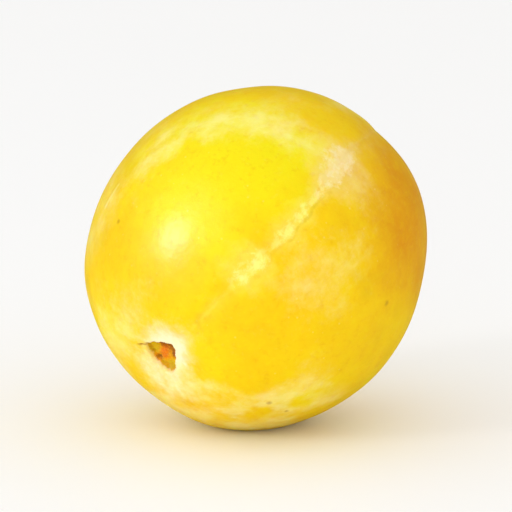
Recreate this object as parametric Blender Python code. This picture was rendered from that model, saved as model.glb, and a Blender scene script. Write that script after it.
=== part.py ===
"""A ripe yellow plum, picked clean off its stalk and lying on its side on a small flat spot.

The fruit is one grown piece, so it is one solid. It is shaped in its own frame, with the stalk
end at +Z and the seam down the +X side, and then set down on the surface at z = 0.
"""

import math

import bmesh
import bpy
from mathutils import Matrix, Vector, noise

# Driving dimensions of the fruit, in metres
LENGTH = 0.0462  # stalk end to tip
SEAM_TO_BACK = 0.0436  # thickness in the plane of the seam
CHEEK_TO_CHEEK = 0.0428  # thickness across the seam
STALK_END_FULLNESS = 0.045  # how much wider the stalk half is than the tip half

# The hollow at the stalk end
HOLLOW_DEPTH = 0.0012
HOLLOW_RADIUS = 0.0052

# The pit that the stalk tore out of the hollow: a torn triangle with sloping sides, whose rim is
# given as (degrees round from the seam, radius in mm)
PIT_DEPTH = 0.0010
PIT_PLACE = Vector((-0.0003, 0.0004))  # from the fruit's axis
PIT_SLOPE = 0.00055  # half the width of its sides
PIT_RIM = (
    (-152, 2.36),
    (-136, 2.74),
    (-123, 2.76),
    (-100, 2.26),
    (-65, 1.80),
    (-30, 2.05),
    (-10, 2.78),
    (2, 2.94),
    (18, 2.50),
    (48, 2.10),
    (80, 2.18),
    (97, 2.55),
    (106, 2.50),
    (119, 2.20),
    (145, 2.02),
    (168, 1.96),
    (188, 2.00),
    (208, 2.36),
)

# The seam: a fine crease in a broad shallow valley, both deepest at the stalk end
CREASE_DEPTH = 0.00015
CREASE_DEPTH_AT_STALK = 0.00050
CREASE_WIDTH = 0.0013
VALLEY_DEPTH = 0.00022
VALLEY_WIDTH = 0.0062
LIP_RISE = 0.00010  # one cheek stands a little prouder at the seam
WANDER = 0.00055  # how far the seam strays to either side past the first half of its way
WANDER_START = math.radians(42)  # down from the stalk end
WANDER_SPAN = math.radians(46)

# The blunt point at the tip
POINT_HEIGHT = 0.00050
POINT_RADIUS = 0.0046

# Uneven growth, as (waves over the fruit, height, place in the noise)
SWELLS = (
    (1.5, 0.00040, Vector((9.8, 3.4, 4.9))),
    (3.2, 0.00012, Vector((9.2, 5.6, 1.3))),
)

# How the fruit lies, from its own frame to the surface
STALK_HEADING = math.radians(232.3)  # seen from above, from +X
STALK_TILT = math.radians(116.7)  # from upright
SEAM_ROLL = math.radians(132.4)
FRUIT_CENTRE = Vector((0.0010, 0.0011, 0.0219))  # from the middle of the flat spot

# Mesh
MERIDIANS = 72
PARALLELS = 66
CROWDING_AT_SEAM = 0.5
CROWDING_AT_POLES = 0.66

SKIN_COLOUR = (0.93, 0.64, 0.02, 1.0)
SKIN_ROUGHNESS = 0.38


def bell(distance, width):
    """1 in the middle, falling smoothly to nothing past the width."""
    return math.exp(-((distance / width) ** 2))


def smooth_step(low, high, value):
    """0 up to the low value, 1 from the high one, and a smooth rise between."""
    part = max(0.0, min(1.0, (value - low) / (high - low)))
    return part * part * (3 - 2 * part)


def crowded(direction):
    """The same sphere with its mesh lines drawn closer to the seam and to both poles."""
    around = math.atan2(direction.y, direction.x)
    around -= CROWDING_AT_SEAM * math.sin(around)
    down = math.acos(max(-1.0, min(1.0, direction.z)))
    down -= CROWDING_AT_POLES * math.sin(2 * down) / 2
    ring = math.sin(down)
    return Vector((ring * math.cos(around), ring * math.sin(around), math.cos(down)))


def body_point(direction):
    """The plain egg shape of the fruit, without seam, hollow or point."""
    fullness = 1 + STALK_END_FULLNESS * direction.z
    return Vector((
        direction.x * fullness * SEAM_TO_BACK / 2,
        direction.y * fullness * CHEEK_TO_CHEEK / 2,
        direction.z * LENGTH / 2,
    ))


def seam_side(direction, point):
    """How far to one side of the seam this point lies."""
    past = math.acos(max(-1.0, min(1.0, direction.z))) - WANDER_START
    if past < 0:
        return point.y
    ring = math.hypot(direction.x, direction.y)
    return point.y + WANDER * ring * math.sin(math.pi * past / WANDER_SPAN)


def seam_depth(direction, point):
    """How far the skin is drawn in by the seam at this point."""
    side = seam_side(direction, point)
    on_seam_side = max(0.0, direction.x) ** 0.5
    near_stalk = max(0.0, direction.z) ** 2
    crease = CREASE_DEPTH + (CREASE_DEPTH_AT_STALK - CREASE_DEPTH) * near_stalk
    crease *= bell(side, CREASE_WIDTH)
    valley = VALLEY_DEPTH * bell(side, VALLEY_WIDTH)
    lip = LIP_RISE * side / CREASE_WIDTH * bell(side, 2 * CREASE_WIDTH)
    return on_seam_side * (crease + valley - lip)


def rim_radius(around):
    """The radius of the pit's rim this many degrees round from the seam, from the pit's middle."""
    around = (around - PIT_RIM[0][0]) % 360 + PIT_RIM[0][0]
    for here, past in zip(PIT_RIM, PIT_RIM[1:]):
        if around <= past[0]:
            part = smooth_step(here[0], past[0], around)
            return 0.001 * (here[1] + (past[1] - here[1]) * part)
    return 0.001 * PIT_RIM[-1][1]


def pit_depth(point):
    """How deep the torn pit is at this point."""
    apart = point.xy - PIT_PLACE
    rim = rim_radius(math.degrees(math.atan2(apart.y, apart.x)))
    return PIT_DEPTH * (1 - smooth_step(rim - PIT_SLOPE, rim + PIT_SLOPE, apart.length))


def end_depth(direction, point):
    """How far the skin is drawn in along the axis by the stalk's hollow, and out by the point."""
    from_axis = math.hypot(point.x, point.y)
    if direction.z > 0:
        return HOLLOW_DEPTH * bell(from_axis, HOLLOW_RADIUS) + pit_depth(point)
    return POINT_HEIGHT * bell(from_axis, POINT_RADIUS)


def swell(direction):
    """The height of the uneven growth at this point."""
    return sum(height * noise.noise(direction * waves + place) for waves, height, place in SWELLS)


def skin_point(direction):
    """The point of the skin that lies in this direction from the fruit's middle."""
    point = body_point(direction)
    inward = seam_depth(direction, point) - swell(direction)
    return point - direction * inward - Vector((0, 0, end_depth(direction, point)))


def resting_pose():
    """The matrix that sets the fruit down: from its own frame to the surface at z = 0."""
    turned = (
        Matrix.Rotation(STALK_HEADING, 4, "Z")
        @ Matrix.Rotation(STALK_TILT, 4, "Y")
        @ Matrix.Rotation(SEAM_ROLL, 4, "Z")
    )
    return Matrix.Translation(FRUIT_CENTRE) @ turned


def flatten_under(fruit, pose):
    """Cuts the fruit off level with the surface, which leaves the small flat spot it rests on."""
    to_fruit = pose.inverted()
    cut = bmesh.ops.bisect_plane(
        fruit,
        geom=fruit.verts[:] + fruit.edges[:] + fruit.faces[:],
        plane_co=to_fruit @ Vector((0, 0, 0)),
        plane_no=to_fruit.to_3x3() @ Vector((0, 0, -1)),
        clear_outer=True,
    )
    rim = [part for part in cut["geom_cut"] if isinstance(part, bmesh.types.BMEdge)]
    bmesh.ops.edgeloop_fill(fruit, edges=rim)
    bmesh.ops.recalc_face_normals(fruit, faces=fruit.faces[:])


def skin_material():
    material = bpy.data.materials.new("plum_skin")
    material.use_nodes = True
    shader = material.node_tree.nodes["Principled BSDF"]
    shader.inputs["Base Color"].default_value = SKIN_COLOUR
    shader.inputs["Roughness"].default_value = SKIN_ROUGHNESS
    shader.inputs["Metallic"].default_value = 0.0
    material.diffuse_color = SKIN_COLOUR
    return material


def make_plum(collection):
    pose = resting_pose()
    fruit = bmesh.new()
    bmesh.ops.create_uvsphere(fruit, u_segments=MERIDIANS, v_segments=PARALLELS, radius=1.0)
    for vertex in fruit.verts:
        vertex.co = skin_point(crowded(vertex.co.normalized()))
    flatten_under(fruit, pose)

    mesh = bpy.data.meshes.new("plum")
    fruit.to_mesh(mesh)
    fruit.free()
    mesh.shade_smooth()
    mesh.set_sharp_from_angle(angle=math.radians(8))
    mesh.materials.append(skin_material())

    plum = bpy.data.objects.new("plum", mesh)
    plum.matrix_world = pose
    collection.objects.link(plum)
    return plum


def main():
    for obj in list(bpy.data.objects):
        bpy.data.objects.remove(obj)
    collection = bpy.data.collections.new("Yellow plum")
    bpy.context.scene.collection.children.link(collection)
    make_plum(collection)


main()
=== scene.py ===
"""A ripe yellow plum, laid on its side on a pale studio floor.

Every piece of the fruit is shaped in the fruit's own frame, with the stalk end at +Z and the seam
down the +X side, and is then laid down the way the frame's solid lies. Sizes are in metres.
"""

import math
import random

import bmesh
import bpy
from bpy.props import FloatProperty, FloatVectorProperty, PointerProperty
from mathutils import Matrix, Vector, noise


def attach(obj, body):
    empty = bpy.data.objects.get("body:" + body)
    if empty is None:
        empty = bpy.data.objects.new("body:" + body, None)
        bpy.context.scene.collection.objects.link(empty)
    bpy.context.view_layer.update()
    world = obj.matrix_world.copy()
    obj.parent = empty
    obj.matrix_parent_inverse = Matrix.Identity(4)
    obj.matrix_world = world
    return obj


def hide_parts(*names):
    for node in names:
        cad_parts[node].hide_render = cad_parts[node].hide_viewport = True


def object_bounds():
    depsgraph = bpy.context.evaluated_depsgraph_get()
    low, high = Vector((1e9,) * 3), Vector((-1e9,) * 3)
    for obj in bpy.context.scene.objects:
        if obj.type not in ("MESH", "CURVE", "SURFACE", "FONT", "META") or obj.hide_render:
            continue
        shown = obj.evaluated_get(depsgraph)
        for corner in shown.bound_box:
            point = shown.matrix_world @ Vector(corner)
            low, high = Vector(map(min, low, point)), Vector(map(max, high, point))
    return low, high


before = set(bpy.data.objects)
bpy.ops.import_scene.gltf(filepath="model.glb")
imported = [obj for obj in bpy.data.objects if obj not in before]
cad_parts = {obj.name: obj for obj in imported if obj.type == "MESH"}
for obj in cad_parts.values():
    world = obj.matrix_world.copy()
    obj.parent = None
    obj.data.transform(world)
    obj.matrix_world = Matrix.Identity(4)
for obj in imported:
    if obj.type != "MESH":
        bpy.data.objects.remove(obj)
SOLID_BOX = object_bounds()

bl_info = {
    "name": "Yellow plum",
    "version": (1, 0, 0),
    "blender": (4, 5, 0),
    "location": "View3D > Sidebar > Plum",
    "description": "A ripe yellow plum with its seam, bloom and torn stalk pit",
    "category": "Add Mesh",
}


def facing(around, down):
    """The direction that lies so far round from the seam and down from the stalk, in degrees."""
    around, down = math.radians(around), math.radians(down)
    ring = math.sin(down)
    return Vector((ring * math.cos(around), ring * math.sin(around), math.cos(down)))


def skin_patches(*rows):
    """Patches of skin, from (degrees round from the seam and down, reach in mm, strength)."""
    return [(facing(around, down), reach / 1000, strength) for around, down, reach, strength in rows]


def stalk_spots(*rows):
    """Spots at the stalk end, from (x, y and reach in mm, strength or rise in metres)."""
    return [(Vector((x, y)) / 1000, reach / 1000, strength) for x, y, reach, strength in rows]


MEAN_RADIUS = 0.022  # of the fruit, which turns directions into distances

# Uneven growth, as (waves over the fruit, height, place in the noise)
SWELLS = (
    (1.5, 0.00040, Vector((9.8, 3.4, 4.9))),
    (3.2, 0.00012, Vector((9.2, 5.6, 1.3))),
)

# The skin's mesh
MERIDIANS = 352
PARALLELS = 262
CROWDING_AT_SEAM = 0.5
CROWDING_AT_POLES = 0.62

# The seam strays to either side past the first half of its way, and its fine line wavers
WANDER_START = math.radians(42)  # down from the stalk end
WANDER_SPAN = math.radians(46)
LINE_DEPTH = 0.00005
LINE_WIDTH = 0.00030
LINE_WANDER = 0.00022

# Puckers round the pit, and the short tear that runs out of it
PUCKER_HEIGHT = 0.000045
PUCKER_PLACE = 0.0034  # out from the pit's middle
PUCKER_REACH = 0.0015
PUCKERS = 5.0  # waves in the noise, over half a turn
TEAR_START = Vector((-0.0009, 0.0030))
TEAR_END = Vector((-0.0022, 0.0039))
TEAR_WIDTH = 0.00015
TEAR_DEPTH = 0.00022
TEAR_WAVER = 0.00012

# The pit's rim is a torn triangle, as (degrees round from the seam, radius in mm)
PIT_PLACE = Vector((-0.0003, 0.0004))  # from the fruit's axis
RIM_LINE = (
    (-152, 2.36), (-136, 2.74), (-123, 2.76), (-100, 2.26), (-65, 1.80), (-30, 2.05),
    (-10, 2.78), (2, 2.94), (18, 2.50), (48, 2.10), (80, 2.18), (97, 2.55),
    (106, 2.50), (119, 2.20), (145, 2.02), (168, 1.96), (188, 2.00), (208, 2.36),
)
MEAN_RIM = 2.3
RIM_RAGGEDNESS = 0.05
RIM_SLOPE = 0.00018
# the dark rim round the torn flesh, partly dried skin and partly painted shade
RIM_DARK_INSET = 0.00010
RIM_DARK_WIDTH = 0.00022
LIP_HEIGHT = 0.00007
LIP_WIDTH = 0.00030

# The pale ring round the rim, as (degrees round from the seam, strength, reach in mm)
RING_LINE = (
    (-152, 0.60, 4.0), (-123, 0.64, 3.8), (-80, 0.62, 2.8), (-40, 1.10, 2.6),
    (-10, 1.25, 3.4), (25, 1.15, 3.2), (50, 0.90, 2.8), (75, 0.62, 2.4),
    (105, 0.34, 1.8), (135, 0.44, 2.6), (168, 0.56, 3.8), (208, 0.60, 4.0),
)
RING_END = 0.0095  # no ring past this distance from the pit's middle
RING_RAGGEDNESS = 0.0008
TORN_RELIEF = 0.00015

# The raised root of the stalk, hollows and ridges in the torn flesh
TORN_LUMPS = stalk_spots(
    (-1.1, 0.3, 0.8, 0.00024), (-2.0, 0.6, 0.3, -0.00024), (-1.8, 1.8, 0.3, -0.00020),
    (0.8, 0.6, 0.7, -0.00026), (-1.2, 2.4, 0.8, 0.00040),
)

# The stalk's strands on its raised root
STRANDS = 7
STRAND_SPREAD = 0.00050
STRAND_LENGTHS = (0.00020, 0.00030)
STRAND_RADII = (0.00006, 0.00010)
STRAND_SINK = 0.00014  # how deep each one's foot sits in the flesh
STRAND_TURN = math.radians(137.5)

# The dry scar at the tip, and the dull halo round it
SCAR_RADIUS = 0.00036
SCAR_HEIGHT = 0.00014
SCAR_DRYNESS = 0.75
HALO_REACH = 0.0011
HALO_RAGGEDNESS = 0.0005

# Colours in the torn flesh; the dark marks are partly dark dots in the flesh and partly painted shade
# under the pit's seamward wall
CORE_MARKS = stalk_spots(
    (-1.1, 0.5, 0.6, 0.9), (-0.1, 0.8, 0.7, 1.0), (-1.2, -0.1, 0.45, 0.5),
)
DARK_AND_SHADE_MARKS = stalk_spots(
    (1.1, 0.6, 1.3, 0.95), (-2.0, 0.6, 0.46, 0.85), (-1.7, 1.7, 0.4, 0.3), (0.1, -0.7, 0.55, 0.8),
    (0.4, 1.8, 0.6, 0.7),
)
OLIVE_MARKS = stalk_spots(
    (-1.5, 2.2, 1.1, 1.2), (-1.8, -1.4, 0.9, 1.2), (-0.8, -1.4, 0.7, 0.9), (-0.7, 2.1, 0.8, 0.9),
    (-2.3, -0.2, 0.5, 0.6),
)

# Bloom, and where handling has rubbed it away
BLOOM_PATCHES = skin_patches(
    (-21, 61, 5.6, 0.16), (-10, 63, 3.0, 0.11), (-27, 49, 3.0, 0.28), (-30, 68, 3.4, 0.12),
    (-21, 90, 3.4, 0.32), (-10, 94, 2.8, 0.30), (-33, 80, 3.8, 0.30), (36, 95, 3.6, 0.60),
    (23, 96, 3.6, 0.52), (14, 97, 2.2, 0.22), (48, 85, 3.2, 0.55), (60, 76, 3.6, 0.85),
    (84, 61, 3.2, 0.28), (94, 49, 4.0, 0.36), (-92, 21, 3.6, 0.52), (-105, 13, 3.4, 0.62),
    (-84, 30, 3.6, 0.62), (-75, 39, 3.6, 0.42), (-66, 46, 3.2, 0.36), (-65, 54, 2.8, 0.28),
    (-92, 48, 3.6, 0.52), (-118, 38, 3.6, 0.52), (-104, 46, 3.8, 0.52), (-82, 58, 3.2, 0.36),
    (80, 18, 4.2, 0.35), (140, 24, 4.6, 0.70), (-150, 24, 4.0, 0.80), (150, 70, 7.0, 0.55),
    (-150, 95, 8.0, 0.55), (120, 118, 7.0, 0.50), (-120, 80, 6.0, 0.45), (-110, 128, 6.0, 0.45),
    (178, 40, 6.0, 0.45), (30, 140, 6.0, 0.50), (-50, 130, 5.0, 0.40),
)
RUBBED_PATCHES = skin_patches(
    (30, 66, 7.8, 0.80), (18, 49, 5.4, 0.60), (22, 26, 2.8, 0.60), (-36, 30, 5.8, 0.80),
    (-52, 42, 3.0, 0.40), (-46, 104, 7.2, 1.00), (-62, 76, 5.0, 0.80), (64, 40, 4.2, 0.55),
    (-97, 39, 1.6, 0.40), (-170, 62, 8.0, 0.50), (125, 88, 7.0, 0.50), (-95, 100, 7.0, 0.50),
)

# Along the seam, as (degrees down from the stalk, strength and half width in mm of the pale line,
# strength of the painted shade on the crease's dark side, how dusty the pale line is)
SEAM_LINE = (
    (0, 0.00, 0.30, 0.00, 0.0), (16, 0.08, 0.40, 0.05, 0.0), (24, 0.16, 0.45, 0.30, 0.0),
    (33, 0.20, 0.50, 0.10, 0.0), (39, 0.12, 0.50, 0.05, 0.0), (42, 0.50, 1.10, 0.10, 0.0),
    (45, 0.95, 1.65, 0.30, 0.2), (48, 0.75, 1.40, 0.60, 0.1), (52, 1.00, 1.85, 0.30, 0.1),
    (55, 0.95, 1.50, 0.20, 0.0), (58, 0.30, 0.70, 0.60, 0.0), (61, 0.60, 0.85, 0.50, 0.0),
    (66, 1.00, 1.20, 0.60, 0.0), (71, 0.85, 0.90, 0.70, 0.0), (76, 1.00, 0.95, 0.70, 0.0),
    (80, 0.70, 0.60, 0.70, 0.1), (86, 0.90, 0.95, 0.40, 0.5), (90, 1.00, 1.90, 0.15, 0.8),
    (97, 1.00, 2.60, 0.00, 1.0), (105, 1.00, 2.30, 0.00, 1.0), (110, 0.40, 1.00, 0.10, 1.0),
    (118, 0.14, 0.35, 0.25, 1.0), (150, 0.10, 0.30, 0.20, 1.0), (170, 0.00, 0.30, 0.00, 1.0),
    (180, 0.00, 0.30, 0.00, 1.0),
)

# Small faint smudges, as (degrees round from the seam and down, radius in mm)
SMUDGES = (
    (-49, 84, 0.4), (73, 50, 0.34), (-80, 39, 0.38), (-88, 47, 0.3),
    (140, 80, 0.3), (-140, 60, 0.24), (-165, 110, 0.3), (100, 120, 0.22),
)

# Fine scratches, as (start, end, half width, strength, which is below nothing for a dark one)
SCRATCHES = (
    (facing(79, 65), facing(86, 59), 0.00026, 0.20),
    (facing(81, 65.5), facing(88, 59.5), 0.00024, -0.25),
    (facing(3, 26), facing(0, 23.5), 0.00036, -0.30),
    (facing(0, 23.5), facing(-8, 23), 0.00030, -0.22),
)

# Ripeness, from lemon through golden to amber, as (middle, angles from it, strength); partly painted
# light and shade, with lemon where the key light falls and amber on the side away from it
PAST_LIT_LEMON = (facing(35, 75), (8, 46), 0.44)
TO_SHADED_AMBER = (facing(-38, 122), (60, 0), 0.66)
RIPENESS_DRIFT = 0.20

# The bloom away from its patches: its level, its drift and how ragged the patches are
BLOOM_LEVEL = 0.16
BLOOM_DRIFT = 0.40
PATCH_WARP = 0.0022

# How much each layer covers the skin below it, at most
GREEN_COVER = 0.30
STRAND_COVER = 0.14
AMBER_GRAIN_COVER = 0.35
LEMON_GRAIN_COVER = 0.30
DOT_COVER = 0.10
BLOOM_COVER = 0.42
RING_COVER = 0.66
SEAM_COVERS = (0.54, 0.40)  # clean, and dusty
# painted shade beside the seam's crease
SEAM_SHADE_COVER = 0.45
TORN_COVER = 0.95
RIM_COVER = 0.66
TEAR_COVER = 0.75
SMUDGE_COVER = 0.44
HALO_COVER = 0.55

# Roughness of clean skin and of skin under bloom, and what torn flesh adds
ROUGHNESSES = (0.39, 0.55)
TORN_ROUGHNESS = 0.34

# The lights: where they lie from the fruit, and their widths and heights
LIGHT_DIRECTION = Vector((-0.79, -0.47, 0.40))
FILL_DIRECTION = Vector((-0.12, -0.99, 0.03))
KEY_SIZE = (0.26, 0.34)
GLOSS_SIZE = (0.28, 0.38)
FILL_SIZE = (0.80, 0.40)


class PlumForm(bpy.types.PropertyGroup):
    """The driving sizes of the fruit."""

    length: FloatProperty(
        name="Length", description="From the stalk end to the tip",
        default=0.0462, min=0.02, unit="LENGTH",
    )
    seam_to_back: FloatProperty(
        name="Seam to back", description="Thickness in the plane of the seam",
        default=0.0436, min=0.02, unit="LENGTH",
    )
    cheek_to_cheek: FloatProperty(
        name="Cheek to cheek", description="Thickness across the seam",
        default=0.0428, min=0.02, unit="LENGTH",
    )
    stalk_end_fullness: FloatProperty(
        name="Fullness", description="How much wider the stalk half is than the tip half",
        default=0.045, min=0.0, max=0.3, subtype="FACTOR",
    )
    hollow_depth: FloatProperty(
        name="Hollow depth", description="Depth of the hollow at the stalk end",
        default=0.0012, min=0.0, unit="LENGTH",
    )
    hollow_radius: FloatProperty(
        name="Hollow radius", description="Reach of the hollow at the stalk end",
        default=0.0052, min=0.001, unit="LENGTH",
    )
    pit_depth: FloatProperty(
        name="Pit depth", description="Depth of the pit that the stalk tore out",
        default=0.0010, min=0.0, unit="LENGTH",
    )
    pit_radius: FloatProperty(
        name="Pit radius", description="Mean radius of the pit's rim",
        default=0.0023, min=0.0005, unit="LENGTH",
    )
    crease_depth: FloatProperty(
        name="Crease depth", description="Depth of the seam's crease along the fruit",
        default=0.00015, min=0.0, unit="LENGTH",
    )
    crease_depth_at_stalk: FloatProperty(
        name="Crease depth at stalk", description="Depth of the seam's crease at the stalk end",
        default=0.00050, min=0.0, unit="LENGTH",
    )
    crease_width: FloatProperty(
        name="Crease width", description="Reach of the crease to each side of the seam",
        default=0.0013, min=0.0002, unit="LENGTH",
    )
    valley_depth: FloatProperty(
        name="Valley depth", description="Depth of the broad valley round the seam",
        default=0.00022, min=0.0, unit="LENGTH",
    )
    valley_width: FloatProperty(
        name="Valley width", description="Reach of the valley to each side of the seam",
        default=0.0062, min=0.001, unit="LENGTH",
    )
    lip_rise: FloatProperty(
        name="Lip", description="How much prouder one cheek stands at the seam",
        default=0.00010, min=0.0, unit="LENGTH",
    )
    wander: FloatProperty(
        name="Wander", description="How far the seam strays to either side",
        default=0.00055, min=0.0, unit="LENGTH",
    )
    point_height: FloatProperty(
        name="Point height", description="Height of the blunt point at the tip",
        default=0.00050, min=0.0, unit="LENGTH",
    )
    point_radius: FloatProperty(
        name="Point radius", description="Reach of the blunt point at the tip",
        default=0.0046, min=0.0005, unit="LENGTH",
    )


class PlumRest(bpy.types.PropertyGroup):
    """How the fruit lies on the floor."""

    heading: FloatProperty(
        name="Heading", description="Where the stalk end points, seen from above",
        default=math.radians(232.3), subtype="ANGLE",
    )
    tilt: FloatProperty(
        name="Tilt", description="The stalk end's angle from upright",
        default=math.radians(116.7), subtype="ANGLE",
    )
    roll: FloatProperty(
        name="Roll", description="Turn of the seam round the fruit's own axis",
        default=math.radians(132.4), subtype="ANGLE",
    )
    centre: FloatVectorProperty(
        name="Centre", description="The fruit's middle, from the middle of its flat spot",
        default=(0.0010, 0.0011, 0.0219), size=3, subtype="TRANSLATION", unit="LENGTH",
    )


class PlumColours(bpy.types.PropertyGroup):
    """The colours of skin, bloom and torn flesh."""

    lemon: FloatVectorProperty(
        name="Lemon", description="The skin where it is brightest",
        default=(0.84, 0.71, 0.001), size=3, min=0.0, max=1.0, subtype="COLOR",
    )
    golden: FloatVectorProperty(
        name="Golden", description="The skin where it is riper",
        default=(0.85, 0.57, 0.001), size=3, min=0.0, max=1.0, subtype="COLOR",
    )
    # amber is darker than ripeness alone makes it: painted shade on the side away from the light
    amber: FloatVectorProperty(
        name="Amber", description="The skin where it is ripest",
        default=(0.69, 0.28, 0.001), size=3, min=0.0, max=1.0, subtype="COLOR",
    )
    olive: FloatVectorProperty(
        name="Olive", description="The skin where a little green is left",
        default=(0.66, 0.52, 0.002), size=3, min=0.0, max=1.0, subtype="COLOR",
    )
    bloom: FloatVectorProperty(
        name="Bloom", description="The pale waxy dust on the skin",
        default=(0.92, 0.95, 0.50), size=3, min=0.0, max=1.0, subtype="COLOR",
    )
    seam: FloatVectorProperty(
        name="Seam", description="The seam's pale line",
        default=(0.94, 1.00, 0.34), size=3, min=0.0, max=1.0, subtype="COLOR",
    )
    wax: FloatVectorProperty(
        name="Wax", description="The pale ring round the pit, and the dust on the seam",
        default=(0.97, 0.96, 0.82), size=3, min=0.0, max=1.0, subtype="COLOR",
    )
    flesh: FloatVectorProperty(
        name="Torn flesh", description="The flesh in the stalk's pit",
        default=(0.86, 0.36, 0.001), size=3, min=0.0, max=1.0, subtype="COLOR",
    )
    core: FloatVectorProperty(
        name="Torn core", description="The stalk's strands in the middle of the pit",
        default=(0.80, 0.20, 0.002), size=3, min=0.0, max=1.0, subtype="COLOR",
    )
    torn_olive: FloatVectorProperty(
        name="Torn olive", description="The flesh at the pit's edges, and dull marks",
        default=(0.67, 0.43, 0.005), size=3, min=0.0, max=1.0, subtype="COLOR",
    )
    # russet also paints shade in the pit, under its seamward wall and along its seamward rim
    russet: FloatVectorProperty(
        name="Russet", description="Dried edges and smudges",
        default=(0.30, 0.085, 0.006), size=3, min=0.0, max=1.0, subtype="COLOR",
    )


class PlumStage(bpy.types.PropertyGroup):
    """The floor, the lights and the camera."""

    floor: FloatVectorProperty(
        name="Floor", description="Colour of the floor",
        default=(0.98, 0.975, 0.965), size=3, min=0.0, max=1.0, subtype="COLOR",
    )
    # painted reflection: the floor takes this colour only where the skin's gloss mirrors it
    painted_floor_reflection: FloatVectorProperty(
        name="Mirrored floor", description="Colour of the floor where the skin mirrors it",
        default=(0.50, 0.37, 0.14), size=3, min=0.0, max=1.0, subtype="COLOR",
    )
    surroundings: FloatProperty(
        name="Surroundings", description="Strength of the white light from all round",
        default=1.0, min=0.0,
    )
    gloss_surroundings: FloatProperty(
        name="Surroundings in gloss", description="Strength of that light where the skin mirrors it",
        default=0.08, min=0.0,
    )
    key_energy: FloatProperty(
        name="Key light", description="Power of the soft light from the left",
        default=1.9, min=0.0, unit="POWER",
    )
    gloss_energy: FloatProperty(
        name="Gloss light", description="Power of the light that only shows as a highlight",
        default=44.0, min=0.0, unit="POWER",
    )
    fill_energy: FloatProperty(
        name="Fill light", description="Power of the low light from the front",
        default=4.6, min=0.0, unit="POWER",
    )
    light_distance: FloatProperty(
        name="Light distance", description="From the fruit to each light",
        default=1.3, min=0.1, unit="LENGTH",
    )
    camera_elevation: FloatProperty(
        name="Camera elevation", description="How far the camera looks down",
        default=math.radians(13), subtype="ANGLE",
    )
    camera_distance: FloatProperty(
        name="Camera distance", description="From the fruit's middle to the camera",
        default=0.8, min=0.1, unit="LENGTH",
    )
    view_width: FloatProperty(
        name="View width", description="Width of the view at the fruit",
        default=0.066, min=0.05, unit="LENGTH",
    )


def bell(distance, width):
    """1 in the middle, falling smoothly to nothing past the width."""
    return math.exp(-((distance / width) ** 2))


def smooth_step(low, high, value):
    """0 up to the low value, 1 from the high one, and a smooth rise between."""
    part = max(0.0, min(1.0, (value - low) / (high - low)))
    return part * part * (3 - 2 * part)


def down_angle(direction):
    """How far down from the stalk end this direction lies."""
    return math.acos(max(-1.0, min(1.0, direction.z)))


def crowded(direction):
    """The same sphere with its mesh lines drawn closer to the seam and to both poles."""
    around = math.atan2(direction.y, direction.x)
    around -= CROWDING_AT_SEAM * math.sin(around)
    down = down_angle(direction)
    down -= CROWDING_AT_POLES * math.sin(2 * down) / 2
    ring = math.sin(down)
    return Vector((ring * math.cos(around), ring * math.sin(around), math.cos(down)))


def body_point(form, direction):
    """The plain egg shape of the fruit, without seam, hollow or point."""
    fullness = 1 + form.stalk_end_fullness * direction.z
    return Vector((
        direction.x * fullness * form.seam_to_back / 2,
        direction.y * fullness * form.cheek_to_cheek / 2,
        direction.z * form.length / 2,
    ))


def swell(direction):
    """The height of the uneven growth at this point."""
    return sum(height * noise.noise(direction * waves + place) for waves, height, place in SWELLS)


def seam_side(form, direction, point):
    """How far to one side of the seam this point lies."""
    past = down_angle(direction) - WANDER_START
    if past < 0:
        return point.y
    ring = math.hypot(direction.x, direction.y)
    return point.y + form.wander * ring * math.sin(math.pi * past / WANDER_SPAN)


def seam_depth(form, direction, point):
    """How far the skin is drawn in by the seam at this point."""
    side = seam_side(form, direction, point)
    on_seam_side = max(0.0, direction.x) ** 0.5
    near_stalk = max(0.0, direction.z) ** 2
    crease = form.crease_depth + (form.crease_depth_at_stalk - form.crease_depth) * near_stalk
    crease *= bell(side, form.crease_width)
    valley = form.valley_depth * bell(side, form.valley_width)
    lip = form.lip_rise * side / form.crease_width * bell(side, 2 * form.crease_width)
    waver = LINE_WANDER * noise.noise(Vector((direction.z * 5, 2.7, 0.0)))
    line = LINE_DEPTH * bell(side - waver, LINE_WIDTH)
    return on_seam_side * (crease + valley - lip + line)


def along_line(rows, value, column):
    """The value in this column of a table, between the two rows this place lies between."""
    for here, past in zip(rows, rows[1:]):
        if value <= past[0]:
            part = (value - here[0]) / (past[0] - here[0])
            return here[column] + (past[column] - here[column]) * smooth_step(0, 1, part)
    return rows[-1][column]


def round_pit(rows, heading, column):
    """The value in this column of a table that runs once round the pit."""
    around = (math.degrees(heading) - rows[0][0]) % 360 + rows[0][0]
    return along_line(rows, around, column)


def rim_radius(form, heading):
    """The radius of the pit's ragged rim on this heading."""
    spot = Vector((math.cos(heading), math.sin(heading), 0.4))
    ragged = RIM_RAGGEDNESS * noise.fractal(spot * 4.1, 0.8, 2.0, 3)
    return form.pit_radius * (round_pit(RIM_LINE, heading, 1) / MEAN_RIM + ragged)


def tear_mask(point):
    """How much of the short tear beside the pit there is at this point."""
    run = TEAR_END - TEAR_START
    apart = point.xy - TEAR_START
    along = apart.dot(run) / run.length
    across = run.x * apart.y - run.y * apart.x
    across = across / run.length + TEAR_WAVER * noise.noise(Vector((along / 0.0007, 4.1, 0.0)))
    ends = smooth_step(-0.0004, 0.0002, along) * (1 - smooth_step(0.55, 1.0, along / run.length))
    return ends * bell(across, TEAR_WIDTH)


def spot_sum(spots, point):
    """What these small spots at the stalk end add up to at this point."""
    return sum(strength * bell((point.xy - place).length, reach) for place, reach, strength in spots)


def about_pit(point):
    """How far this point lies from the pit's middle, and on which heading."""
    apart = point.xy - PIT_PLACE
    return apart.length, math.atan2(apart.y, apart.x)


def torn_mask(form, point):
    """1 on the torn flesh inside the pit's rim, and 0 on whole skin."""
    out, heading = about_pit(point)
    if out > 2 * form.pit_radius:
        return 0.0
    rim = rim_radius(form, heading)
    return 1 - smooth_step(rim - RIM_SLOPE, rim + RIM_SLOPE, out)


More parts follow.
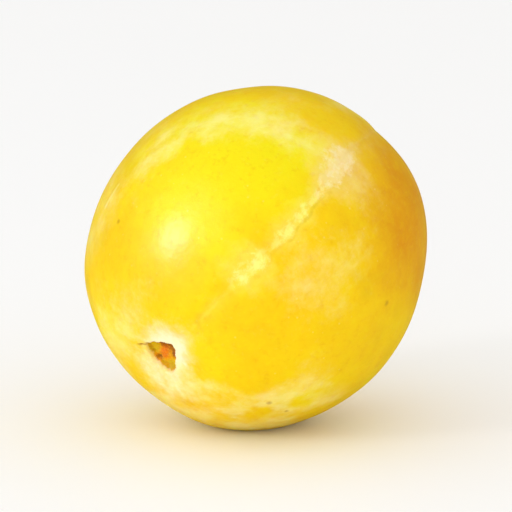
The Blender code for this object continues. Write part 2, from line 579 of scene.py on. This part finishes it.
def stalk_end_depth(form, point):
    """How far the stalk end is drawn in along the axis by its hollow, pit, puckers and tear."""
    hollow = form.hollow_depth * bell(math.hypot(point.x, point.y), form.hollow_radius)
    out, heading = about_pit(point)
    if out > 4 * form.pit_radius:
        return hollow
    torn = torn_mask(form, point)
    pit = form.pit_depth * torn
    pit += TORN_RELIEF * torn * noise.fractal(point * 2600, 0.7, 2.0, 4)
    pit -= torn * spot_sum(TORN_LUMPS, point)
    rim = rim_radius(form, heading)
    lip = LIP_HEIGHT * bell(out - rim - 1.6 * RIM_SLOPE, LIP_WIDTH)
    spot = Vector((math.cos(heading), math.sin(heading), out * 120)) * PUCKERS
    pucker = PUCKER_HEIGHT * noise.noise(spot) * bell(out - PUCKER_PLACE, PUCKER_REACH)
    return hollow + pit - lip - pucker * (1 - torn) + TEAR_DEPTH * tear_mask(point)


def tip_depth(form, point):
    """How far the tip is pushed out along the axis by its blunt point."""
    return form.point_height * bell(math.hypot(point.x, point.y), form.point_radius)


def skin_point(form, direction):
    """The point of the skin that lies in this direction from the fruit's middle."""
    point = body_point(form, direction)
    inward = seam_depth(form, direction, point) - swell(direction)
    along = stalk_end_depth(form, point) if direction.z > 0 else tip_depth(form, point)
    return point - direction * inward - Vector((0, 0, along))


def patch_sum(patches, direction):
    """What these patches add up to at this point, with their edges broken up."""
    warp = PATCH_WARP * noise.fractal(direction * 7 + Vector((4, 1, 8)), 0.8, 2.0, 4)
    total = 0.0
    for middle, reach, strength in patches:
        apart = (direction - middle).length * MEAN_RADIUS + warp
        if apart < 2.5 * reach:
            total += strength * bell(max(0.0, apart), reach)
    return total


def bloom_amount(direction):
    """How much bloom lies on the skin here: up to 1, and below 0 where it is rubbed clean."""
    drift = BLOOM_DRIFT * noise.fractal(direction * 2.6 + Vector((1.5, 6.2, 3.3)), 0.9, 2.0, 4)
    patchy = patch_sum(BLOOM_PATCHES, direction) - patch_sum(RUBBED_PATCHES, direction)
    return max(-0.4, min(1.0, BLOOM_LEVEL + drift + patchy))


def ring_amount(form, direction, point):
    """How much of the pale ring round the pit there is at this point."""
    out, heading = about_pit(point)
    if out > RING_END:
        return 0.0
    ragged = RING_RAGGEDNESS * noise.fractal(direction * 12, 0.8, 2.0, 3)
    past = max(0.0, out + ragged - rim_radius(form, heading))
    return round_pit(RING_LINE, heading, 1) * bell(past, 0.001 * round_pit(RING_LINE, heading, 2))


def ripeness_and_shade_amount(direction):
    """Ripeness and painted light and shade at this point: 0 lemon on the lit side, 0.5 golden, 1 amber
    on the shaded side.
    """
    drift = noise.fractal(direction * 1.9 + Vector((7.1, 2.2, 0.6)), 0.9, 2.0, 4)
    ripe_and_shade = RIPENESS_DRIFT * drift
    for middle, angles, strength in (PAST_LIT_LEMON, TO_SHADED_AMBER):
        ripe_and_shade += strength * smooth_step(*angles, math.degrees(direction.angle(middle)))
    return max(0.0, min(1.0, ripe_and_shade))


def dried_rim_and_shade(form, point):
    """How much dark rim there is round the torn flesh at this point: partly dried skin, partly painted
    shade that is strongest on the seamward side.
    """
    out, heading = about_pit(point)
    if out > 2 * form.pit_radius:
        return 0.0
    inside = rim_radius(form, heading) - out - RIM_DARK_INSET
    # painted shade: the rim is darkest on the seamward side, where the pit's wall is in shadow
    seamward = 0.45 + 0.55 * math.cos(heading - 0.5)
    return max(0.1, seamward) * bell(inside, RIM_DARK_WIDTH)


def tip_shade(direction, point):
    """How much of the dull halo round the tip's scar there is at this point."""
    ragged = HALO_RAGGEDNESS * noise.fractal(direction * 30, 0.8, 2.0, 3)
    return bell(math.hypot(point.x, point.y) + ragged, HALO_REACH)


MASKS = (
    "bloom", "ring", "ripeness_and_shade", "seam_side", "seam_pale", "seam_width", "seam_shade", "seam_dust",
    "torn", "tear", "rim", "tip", "torn_core", "torn_dark_and_shade", "torn_olive",
)


def skin_masks(form, direction, point):
    """The amounts that the skin's material reads at this point, by name."""
    down = math.degrees(down_angle(direction))
    pale, width, dark, dust = (along_line(SEAM_LINE, down, column) for column in (1, 2, 3, 4))
    on_seam_side = smooth_step(0.0, 0.3, direction.x)
    masks = {
        "bloom": bloom_amount(direction),
        "ripeness_and_shade": ripeness_and_shade_amount(direction),
        "seam_side": seam_side(form, direction, point) * 1000,
        "seam_pale": on_seam_side * pale,
        "seam_width": width,
        "seam_shade": on_seam_side * dark,
        "seam_dust": dust,
    }
    if direction.z < 0:
        masks["tip"] = tip_shade(direction, point)
    else:
        masks["ring"] = ring_amount(form, direction, point)
        masks["torn"] = torn_mask(form, point)
        masks["tear"] = tear_mask(point)
        masks["rim"] = dried_rim_and_shade(form, point)
        masks["torn_core"] = spot_sum(CORE_MARKS, point)
        masks["torn_dark_and_shade"] = spot_sum(DARK_AND_SHADE_MARKS, point)
        masks["torn_olive"] = spot_sum(OLIVE_MARKS, point)
    return masks


def lying_pose(rest):
    """The matrix that lays the fruit down: from its own frame to the floor at z = 0."""
    turned = (
        Matrix.Rotation(rest.heading, 4, "Z")
        @ Matrix.Rotation(rest.tilt, 4, "Y")
        @ Matrix.Rotation(rest.roll, 4, "Z")
    )
    return Matrix.Translation(rest.centre) @ turned


def settle(mesh):
    """Presses what reaches below the floor up to it, which leaves the flat spot."""
    for vertex in mesh.verts:
        vertex.co.z = max(0.0, vertex.co.z)


class NodeBench:
    """Adds nodes to one material, or to the world, and wires them up."""

    def __init__(self, block, shader="Principled BSDF"):
        block.use_nodes = True
        self.block = block
        self.tree = block.node_tree
        self.shader = self.tree.nodes[shader]

    def feed(self, socket, value):
        """Links a socket's value, or sets a plain one. A plain colour gets its alpha here."""
        if isinstance(value, bpy.types.NodeSocket):
            self.tree.links.new(value, socket)
        elif socket.type == "RGBA":
            socket.default_value = (*value, 1.0)
        else:
            socket.default_value = value

    def add(self, kind, inputs=None, **settings):
        """A new node with these values on its inputs, and these settings."""
        node = self.tree.nodes.new(kind)
        for key, value in settings.items():
            setattr(node, key, value)
        for key, value in (inputs or {}).items():
            self.feed(node.inputs[key], value)
        return node

    def shade(self, name, value):
        """Gives this value to one input of the shader."""
        self.feed(self.shader.inputs[name], value)

    def place(self):
        """The point on the piece, in metres."""
        return self.add("ShaderNodeTexCoord").outputs["Object"]

    def mask(self, name, output="Fac"):
        """One of the amounts or places that are stored on the mesh."""
        return self.add("ShaderNodeAttribute", attribute_name=name).outputs[output]

    def math(self, operation, first, second=0.0, clamp=False):
        """A sum of two numbers, held to 0 to 1 where it is clamped."""
        inputs = {0: first, 1: second}
        return self.add("ShaderNodeMath", inputs, operation=operation, use_clamp=clamp).outputs[0]

    def plus(self, first, second):
        """One added to the other."""
        return self.math("ADD", first, second)

    def times(self, first, second, clamp=False):
        """One multiplied by the other."""
        return self.math("MULTIPLY", first, second, clamp)

    def vector_math(self, operation, first, second):
        """A sum of two places, or of a place and a number."""
        inputs = {0: first, "Scale" if operation == "SCALE" else 1: second}
        node = self.add("ShaderNodeVectorMath", inputs, operation=operation)
        return node.outputs["Value" if operation in ("DOT_PRODUCT", "DISTANCE") else "Vector"]

    def noise(self, place, size, detail=3.0, roughness=0.5, distortion=0.0):
        """Cloudy noise from 0 to 1 whose lumps are about this size, in metres."""
        return self.add("ShaderNodeTexNoise", {
            "Vector": place, "Scale": 1 / size, "Detail": detail, "Roughness": roughness,
            "Distortion": distortion,
        }).outputs["Fac"]

    def cells(self, place, size):
        """Cells about this size: the distance to each one's middle, in sizes, and its own lot."""
        node = self.add("ShaderNodeTexVoronoi", {"Vector": place, "Scale": 1 / size})
        lot = self.add("ShaderNodeSeparateColor", {"Color": node.outputs["Color"]})
        return node.outputs["Distance"], lot.outputs["Red"]

    def stretch(self, place, factors):
        """The place with each of its axes scaled."""
        return self.add("ShaderNodeMapping", {"Vector": place, "Scale": factors}).outputs["Vector"]

    def step(self, value, low, high):
        """A smooth rise from 0 at the low value to 1 at the high one."""
        inputs = {"Value": value, "From Min": low, "From Max": high}
        return self.add("ShaderNodeMapRange", inputs, interpolation_type="SMOOTHSTEP").outputs["Result"]

    def span(self, value, low, high):
        """A value from 0 to 1 spread evenly between two others."""
        inputs = {"Value": value, "To Min": low, "To Max": high}
        return self.add("ShaderNodeMapRange", inputs).outputs["Result"]

    def uneven(self, value, place, size, height, detail=3.0, roughness=0.5):
        """The value with cloudy noise added to it, by up to this height either way."""
        return self.plus(value, self.span(self.noise(place, size, detail, roughness), -height, height))

    def mix(self, amount, first, second):
        """The second colour laid over the first by this amount."""
        node = self.add("ShaderNodeMix", {"Factor": amount}, data_type="RGBA")
        under, over = (socket for socket in node.inputs if socket.type == "RGBA")
        self.feed(under, first)
        self.feed(over, second)
        return next(socket for socket in node.outputs if socket.type == "RGBA")

    def lay(self, under, over, amount, cover):
        """One colour laid over another where there is an amount of it, up to this cover."""
        return self.mix(self.times(amount, cover), under, over)

    def bump(self, height, distance, below=None):
        """A relief of this height in metres, laid over another one."""
        node = self.add("ShaderNodeBump", {"Height": height, "Distance": distance})
        if below is not None:
            self.feed(node.inputs["Normal"], below)
        return node.outputs["Normal"]


def skin_bloom_layer(bench, place, fruit):
    """The bloom's cover on the skin: stored patches, broken into powder and rubbed streaks."""
    cover = bench.uneven(bench.mask("bloom"), place, 0.0026, 0.42, 5.0, 0.7)
    streaks = bench.noise(bench.stretch(fruit, (1.0, 1.0, 0.30)), 0.0010, 3.0, 0.6, 0.5)
    cover = bench.plus(cover, bench.span(streaks, -0.16, 0.16))
    cover = bench.uneven(cover, place, 0.0007, 0.26, 4.0, 0.7)
    return bench.step(cover, 0.10, 1.36)


def smudge_mask(bench, form, fruit):
    """The few faint smudges, each ragged and on its own spot of the skin."""
    ragged = bench.noise(fruit, 0.00045, 3.0, 0.6)
    total = 0.0
    for around, down, radius in SMUDGES:
        apart = bench.vector_math("DISTANCE", fruit, body_point(form, facing(around, down)))
        edge = bench.times(bench.span(ragged, 0.5, 1.6), radius / 1000)
        inside = bench.step(bench.math("DIVIDE", apart, edge), 1.50, 0.10)
        total = bench.math("MAXIMUM", total, inside)
    return total


def scratch_mask(bench, form, fruit, start, end, width, strength):
    """One fine straight scratch, with faded ends."""
    start, end = body_point(form, start), body_point(form, end)
    run = end - start
    apart = bench.vector_math("SUBTRACT", fruit, start)
    along = bench.vector_math("DOT_PRODUCT", apart, run / run.length_squared)
    along = bench.math("MAXIMUM", bench.math("MINIMUM", along, 1.0), 0.0)
    nearest = bench.vector_math("SCALE", run, along)
    across = bench.uneven(bench.vector_math("DISTANCE", apart, nearest), fruit, 0.0006, 0.00016, 2.0)
    return bench.times(bench.step(across, 1.6 * width, 0.3 * width), strength)


def seam_masks(bench, fruit):
    """The seam's pale line and the thin painted shade of the crease beside it, both broken and ragged.
    """
    side = bench.uneven(bench.mask("seam_side"), fruit, 0.0021, 0.5, 3.0, 0.6)
    width = bench.mask("seam_width")
    spread = bench.math("DIVIDE", bench.math("ABSOLUTE", side), width)
    spread = bench.uneven(spread, fruit, 0.0016, 1.5, 4.0, 0.7)

    # the line itself is broken where it is clean and whole where it is dusty
    shows = bench.mask("seam_pale")
    broken = bench.step(bench.noise(fruit, 0.0010, 4.0, 0.7), 0.34, 0.60)
    whole = bench.times(bench.mask("seam_dust"), 0.80)
    whole = bench.math("MAXIMUM", bench.span(broken, 0.35, 1.0), whole)
    line = bench.times(bench.times(bench.step(spread, 1.35, 0.15), shows), whole)
    powder = bench.times(bench.times(bench.step(spread, 2.9, 0.3), shows), 0.34)
    pale = bench.math("MAXIMUM", line, powder)

    # painted shade: a thin olive line on the far side of the seam's crease
    past = bench.plus(side, bench.times(width, 0.95))
    dark = bench.times(bench.step(bench.math("ABSOLUTE", past), 0.42, 0.04), bench.mask("seam_shade"))
    dark = bench.times(dark, bench.span(bench.noise(fruit, 0.0009, 2.0, 0.6), -0.5, 2.4), clamp=True)
    return pale, dark


def torn_colour(bench, place, colours):
    """Torn flesh: red at the stalk's root, olive at the edges, brown at dark dots in the hollows and as
    painted shade under the pit's seamward wall.
    """
    tissue = bench.noise(place, 0.00045, 5.0, 0.7, 0.8)
    ragged = bench.span(bench.noise(place, 0.0006, 5.0, 0.8), -0.75, 0.75)
    flesh = bench.lay(colours.flesh, colours.torn_olive, bench.step(tissue, 0.40, 0.75), 0.5)
    for name, colour in (
        ("torn_olive", colours.torn_olive), ("torn_core", colours.core), ("torn_dark_and_shade", colours.russet),
    ):
        amount = bench.step(bench.plus(bench.mask(name), ragged), 0.10, 1.05)
        flesh = bench.lay(flesh, colour, amount, TORN_COVER)
    return flesh


def skin_material(form, colours):
    """Yellow skin with bloom, seam line, faint dots and torn flesh in the pit."""
    bench = NodeBench(bpy.data.materials.new("plum_skin"))
    place = bench.place()
    fruit = bench.mask("fruit_place", "Vector")

    # yellow that drifts from lemon through golden to amber, with a little green left; the drift is
    # partly ripeness and partly painted light and shade, lemon on the lit side and amber on the side
    # away from the light
    drift = bench.uneven(bench.mask("ripeness_and_shade"), place, 0.0050, 0.22, 5.0, 0.6)
    ripe_and_shade = bench.mix(bench.step(drift, 0.02, 0.48), colours.lemon, colours.golden)
    ripe_and_shade = bench.mix(bench.step(drift, 0.40, 1.15), ripe_and_shade, colours.amber)
    green = bench.step(bench.noise(place, 0.010, 3.0, 0.5), 0.54, 0.78)
    ripe_and_shade = bench.lay(ripe_and_shade, colours.olive, green, GREEN_COVER)

    # strands of flesh that show through, running from stalk to tip
    strands = bench.noise(bench.stretch(fruit, (1.0, 1.0, 0.35)), 0.0009, 4.0, 0.6, 0.8)
    ripe_and_shade = bench.lay(ripe_and_shade, colours.golden, bench.step(strands, 0.48, 0.75), STRAND_COVER)
    ripe_and_shade = bench.lay(ripe_and_shade, colours.lemon, bench.step(strands, 0.52, 0.25), STRAND_COVER)

    # fine uneven flesh under the skin
    grain = bench.noise(place, 0.0012, 6.0, 0.75)
    ripe_and_shade = bench.lay(ripe_and_shade, colours.amber, bench.step(grain, 0.50, 0.80), AMBER_GRAIN_COVER)
    ripe_and_shade = bench.lay(ripe_and_shade, colours.lemon, bench.step(grain, 0.50, 0.20), LEMON_GRAIN_COVER)

    # faint pale dots, some missing
    apart, lot = bench.cells(place, 0.0016)
    dot = bench.times(bench.step(apart, 0.12, 0.05), bench.step(lot, 0.40, 0.60))
    ripe_and_shade = bench.lay(ripe_and_shade, colours.bloom, dot, DOT_COVER)

    # bloom, as a fine uneven powder
    bloom = skin_bloom_layer(bench, place, fruit)
    powder = bench.span(bench.noise(place, 0.00030, 3.0, 0.7), 0.80, 1.20)
    colour = bench.lay(ripe_and_shade, colours.bloom, bench.times(bloom, powder), BLOOM_COVER)

    # the seam's pale line, the pale ring round the pit, and the painted shade on the seam crease's dark
    # side
    pale, dark = seam_masks(bench, fruit)
    dust = bench.mask("seam_dust")
    line = bench.mix(dust, colours.seam, colours.wax)
    colour = bench.lay(colour, line, pale, bench.span(dust, *SEAM_COVERS))
    ring = bench.uneven(bench.mask("ring"), place, 0.0013, 0.24, 4.0, 0.7)
    ring = bench.uneven(ring, place, 0.0005, 0.15, 3.0, 0.6)
    colour = bench.lay(colour, colours.wax, bench.step(ring, 0.02, 1.10), RING_COVER)
    colour = bench.lay(colour, colours.torn_olive, dark, SEAM_SHADE_COVER)

    for start, end, width, strength in SCRATCHES:
        scratch = scratch_mask(bench, form, fruit, start, end, width, abs(strength))
        colour = bench.mix(scratch, colour, colours.bloom if strength > 0 else colours.torn_olive)

    # torn flesh, with its dark rim that is partly dried skin and partly painted shade, and the tear
    # beside it
    torn = bench.step(bench.uneven(bench.mask("torn"), place, 0.0004, 0.25), 0.35, 0.65)
    colour = bench.mix(torn, colour, torn_colour(bench, place, colours))
    rim = bench.span(bench.noise(place, 0.0005, 3.0), 0.4, 1.6)
    rim = bench.times(bench.mask("rim"), rim, clamp=True)
    colour = bench.lay(colour, colours.russet, rim, RIM_COVER)
    colour = bench.lay(colour, colours.russet, bench.mask("tear"), TEAR_COVER)

    # smudges, and the halo round the scar at the tip
    colour = bench.lay(colour, colours.russet, smudge_mask(bench, form, fruit), SMUDGE_COVER)
    colour = bench.lay(colour, colours.torn_olive, bench.mask("tip"), HALO_COVER)
    bench.shade("Base Color", colour)

    # satin wax, duller under bloom and on torn flesh
    rough = bench.uneven(bench.span(bloom, *ROUGHNESSES), place, 0.0015, 0.05)
    rough = bench.plus(rough, bench.times(torn, TORN_ROUGHNESS))
    bench.shade("Roughness", rough)

    relief = bench.bump(bench.noise(place, 0.0042, 3.0, 0.5), 0.00014)
    relief = bench.bump(bench.noise(place, 0.00060, 4.0, 0.65), 0.000022, relief)
    relief = bench.bump(dot, 0.000008, relief)
    bench.shade("Normal", relief)

    bench.shade("Specular IOR Level", 0.13)
    bench.shade("Subsurface Weight", 0.50)
    bench.shade("Subsurface Radius", (1.0, 0.55, 0.10))
    bench.shade("Subsurface Scale", 0.0036)
    bench.block.diffuse_color = (*colours.lemon, 1.0)
    return bench.block


def strand_material(colours):
    """The stalk's dried strands: orange at the root and brown at the torn end."""
    bench = NodeBench(bpy.data.materials.new("torn_strands"))
    place = bench.place()
    tissue = bench.noise(place, 0.00025, 4.0, 0.65)
    colour = bench.mix(bench.step(tissue, 0.35, 0.65), colours.core, colours.flesh)
    colour = bench.mix(bench.mask("dryness"), colour, colours.russet)
    bench.shade("Base Color", colour)
    bench.shade("Roughness", bench.span(tissue, 0.40, 0.70))
    bench.shade("Normal", bench.bump(tissue, 0.00002))
    bench.shade("Subsurface Weight", 0.15)
    bench.shade("Subsurface Radius", (1.0, 0.4, 0.1))
    bench.shade("Subsurface Scale", 0.0006)
    return bench.block


def floor_material(stage):
    """Plain pale floor with the faintest unevenness, and a darker warm colour painted in as a
    reflection where the skin mirrors it.
    """
    bench = NodeBench(bpy.data.materials.new("pale_floor"))
    cloud = bench.noise(bench.place(), 0.05, 3.0)
    colour = bench.mix(bench.span(cloud, 0.0, 0.03), stage.floor, (0.85, 0.85, 0.85))
    # painted reflection: glossy rays see the floor in a darker warm colour
    mirrored = bench.add("ShaderNodeLightPath").outputs["Is Glossy Ray"]
    bench.shade("Base Color", bench.mix(mirrored, colour, stage.painted_floor_reflection))
    bench.shade("Roughness", 0.6)
    bench.shade("Specular IOR Level", 0.2)
    return bench.block


def finished(shape, name, material):
    """Turns the shape into an object with its place in its mesh."""
    bmesh.ops.recalc_face_normals(shape, faces=shape.faces[:])
    mesh = bpy.data.meshes.new(name)
    shape.to_mesh(mesh)
    shape.free()
    mesh.shade_smooth()
    mesh.materials.append(material)
    piece = bpy.data.objects.new(name, mesh)
    bpy.context.scene.collection.objects.link(piece)
    return piece


class PLUM_OT_add_skin(bpy.types.Operator):
    """Adds the fruit's skin, with its seam, hollow, pit and point"""

    bl_idname = "plum.add_skin"
    bl_label = "Skin"

    def execute(self, context):
        form = context.scene.plum_form
        pose = lying_pose(context.scene.plum_rest)
        skin = bmesh.new()
        bmesh.ops.create_uvsphere(skin, u_segments=MERIDIANS, v_segments=PARALLELS, radius=1.0)
        layers = {name: skin.verts.layers.float.new(name) for name in MASKS}
        fruit_place = skin.verts.layers.float_vector.new("fruit_place")
        for vertex in skin.verts:
            direction = crowded(vertex.co.normalized())
            body = body_point(form, direction)
            for name, amount in skin_masks(form, direction, body).items():
                vertex[layers[name]] = amount
            vertex[fruit_place] = body
            vertex.co = pose @ skin_point(form, direction)
        settle(skin)
        piece = finished(skin, "skin", skin_material(form, context.scene.plum_colours))
        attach(piece, "root")
        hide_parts("plum")
        return {"FINISHED"}


def add_strand(shape, dryness, foot, lean, length, radius, turn):
    """Adds one tapered strand that stands on its foot and leans over towards its ragged end."""
    before = len(shape.verts)
    made = bmesh.ops.create_cone(
        shape, cap_ends=True, segments=9, radius1=radius, radius2=radius * 0.45, depth=length,
    )
    edges = {edge for vertex in made["verts"] for edge in vertex.link_edges}
    upright = [edge for edge in edges if abs((edge.verts[0].co - edge.verts[1].co).z) > length / 2]
    bmesh.ops.subdivide_edges(shape, edges=upright, cuts=5)
    shape.verts.ensure_lookup_table()
    for vertex in shape.verts[before:]:
        rise = vertex.co.z / length + 0.5
        wobble = Vector((
            noise.noise(vertex.co * 5200 + turn),
            noise.noise(vertex.co * 4700 - turn),
            0.0,
        ))
        vertex[dryness] = 0.3 * smooth_step(0.35, 1.0, rise)
        vertex.co += foot + Vector((0, 0, length / 2)) + lean * rise ** 2 + wobble * radius * 0.5


class PLUM_OT_add_strands(bpy.types.Operator):
    """Adds the torn strands of the stalk in the pit"""

    bl_idname = "plum.add_strands"
    bl_label = "Stalk strands"

    def execute(self, context):
        form = context.scene.plum_form
        draw = random.Random(7)
        shape = bmesh.new()
        dryness = shape.verts.layers.float.new("dryness")
        root = TORN_LUMPS[0][0].to_3d()
        for index in range(STRANDS):
            heading = index * STRAND_TURN
            side = Vector((math.cos(heading), math.sin(heading), 0.0))
            spot = root + side * STRAND_SPREAD * math.sqrt((index + 0.4) / STRANDS)
            direction = (spot + Vector((0, 0, form.length / 2))).normalized()
            foot = skin_point(form, direction) - Vector((0, 0, STRAND_SINK))
            lean = side * draw.uniform(-0.00006, 0.00020)
            add_strand(
                shape, dryness, foot, lean, draw.uniform(*STRAND_LENGTHS),
                draw.uniform(*STRAND_RADII), Vector((index, 2 * index, 0.5)),
            )
        bmesh.ops.transform(shape, matrix=lying_pose(context.scene.plum_rest), verts=shape.verts[:])
        piece = finished(shape, "stalk_strands", strand_material(context.scene.plum_colours))
        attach(piece, "root")
        return {"FINISHED"}


class PLUM_OT_add_tip_scar(bpy.types.Operator):
    """Adds the dry remnant of the flower at the tip"""

    bl_idname = "plum.add_tip_scar"
    bl_label = "Tip scar"

    def execute(self, context):
        form = context.scene.plum_form
        shape = bmesh.new()
        dryness = shape.verts.layers.float.new("dryness")
        bmesh.ops.create_uvsphere(shape, u_segments=24, v_segments=14, radius=1.0)
        tip = skin_point(form, Vector((0, 0, -1)))
        for vertex in shape.verts:
            across = SCAR_RADIUS * (1 + 0.9 * noise.fractal(vertex.co * 1.7, 0.8, 2.0, 3))
            vertex[dryness] = SCAR_DRYNESS
            out = Vector((vertex.co.x * across * 1.3, vertex.co.y * across, vertex.co.z * SCAR_HEIGHT))
            vertex.co = tip + out
        bmesh.ops.transform(shape, matrix=lying_pose(context.scene.plum_rest), verts=shape.verts[:])
        piece = finished(shape, "tip_scar", strand_material(context.scene.plum_colours))
        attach(piece, "root")
        return {"FINISHED"}


def add_world(stage):
    """White surroundings, dimmer where they would only wash over the skin as a gloss."""
    bench = NodeBench(bpy.data.worlds.new("white_surroundings"), "Background")
    path = bench.add("ShaderNodeLightPath")
    level = stage.surroundings
    for ray, value in (("Is Glossy Ray", stage.gloss_surroundings), ("Is Camera Ray", 1.0)):
        inputs = {"Factor": path.outputs[ray], "A": level, "B": value}
        level = bench.add("ShaderNodeMix", inputs).outputs["Result"]
    bench.shade("Color", (1.0, 1.0, 1.0))
    bench.shade("Strength", level)
    bpy.context.scene.world = bench.block


def add_floor(stage):
    """A wide level disc."""
    shape = bmesh.new()
    bmesh.ops.create_circle(shape, cap_ends=True, segments=96, radius=5.0)
    floor = finished(shape, "floor", floor_material(stage))
    if floor.data.polygons[0].normal.z < 0:
        floor.data.flip_normals()


def looking_back(centre, direction, distance):
    """The pose of a light or camera that lies this far out and looks back at the centre, upright."""
    turn = direction.to_track_quat("Z", "Y").to_matrix().to_4x4()
    return Matrix.Translation(centre + direction * distance) @ turn


def add_light(name, stage, centre, direction, energy, size):
    """A soft oval of light that lies in this direction and faces the fruit."""
    light = bpy.data.lights.new(name, "AREA")
    light.shape = "ELLIPSE"
    light.size, light.size_y = size
    light.energy = energy
    lamp = bpy.data.objects.new(name, light)
    lamp.matrix_world = looking_back(centre, direction.normalized(), stage.light_distance)
    lamp.visible_camera = False
    bpy.context.scene.collection.objects.link(lamp)
    return lamp


def add_camera(stage, centre):
    """The camera looks down a little, from far enough away to flatten the fruit."""
    data = bpy.data.cameras.new("camera")
    data.sensor_width = 36.0
    data.lens = data.sensor_width * stage.camera_distance / stage.view_width
    data.clip_end = 20.0
    camera = bpy.data.objects.new("camera", data)
    elevation = stage.camera_elevation
    back = Vector((0.0, -math.cos(elevation), math.sin(elevation)))
    camera.matrix_world = looking_back(centre, back, stage.camera_distance)
    bpy.context.scene.collection.objects.link(camera)
    bpy.context.scene.camera = camera


class PLUM_OT_add_stage(bpy.types.Operator):
    """Adds the floor, the lights and the camera"""

    bl_idname = "plum.add_stage"
    bl_label = "Stage"

    def execute(self, context):
        stage = context.scene.plum_stage
        low, high = SOLID_BOX
        centre = (low + high) / 2
        context.scene.view_settings.view_transform = "Standard"
        add_world(stage)
        add_floor(stage)
        add_light("key", stage, centre, LIGHT_DIRECTION, stage.key_energy, KEY_SIZE)
        gloss = add_light("gloss", stage, centre, LIGHT_DIRECTION, stage.gloss_energy, GLOSS_SIZE)
        gloss.visible_diffuse = False
        fill = add_light("fill", stage, centre, FILL_DIRECTION, stage.fill_energy, FILL_SIZE)
        fill.visible_glossy = False
        add_camera(stage, centre)
        return {"FINISHED"}


class PLUM_PT_sidebar(bpy.types.Panel):
    """Lists the plum's pieces and settings"""

    bl_label = "Plum"
    bl_idname = "PLUM_PT_sidebar"
    bl_space_type = "VIEW_3D"
    bl_region_type = "UI"
    bl_category = "Plum"

    def draw(self, context):
        for operator in OPERATORS:
            self.layout.operator(operator.bl_idname)
        for name in SETTINGS:
            settings = getattr(context.scene, name)
            column = self.layout.column()
            for key in settings.bl_rna.properties.keys():
                if key not in {"rna_type", "name"}:
                    column.prop(settings, key)


OPERATORS = (PLUM_OT_add_skin, PLUM_OT_add_strands, PLUM_OT_add_tip_scar, PLUM_OT_add_stage)
SETTINGS = {
    "plum_form": PlumForm,
    "plum_rest": PlumRest,
    "plum_colours": PlumColours,
    "plum_stage": PlumStage,
}


def register():
    for kind in (*SETTINGS.values(), *OPERATORS, PLUM_PT_sidebar):
        bpy.utils.register_class(kind)
    for name, kind in SETTINGS.items():
        setattr(bpy.types.Scene, name, PointerProperty(type=kind))


def unregister():
    for name in SETTINGS:
        delattr(bpy.types.Scene, name)
    for kind in (PLUM_PT_sidebar, *OPERATORS, *SETTINGS.values()):
        bpy.utils.unregister_class(kind)


def main():
    register()
    bpy.ops.plum.add_skin()
    bpy.ops.plum.add_strands()
    bpy.ops.plum.add_tip_scar()
    bpy.ops.plum.add_stage()


if __name__ == "__main__":
    main()
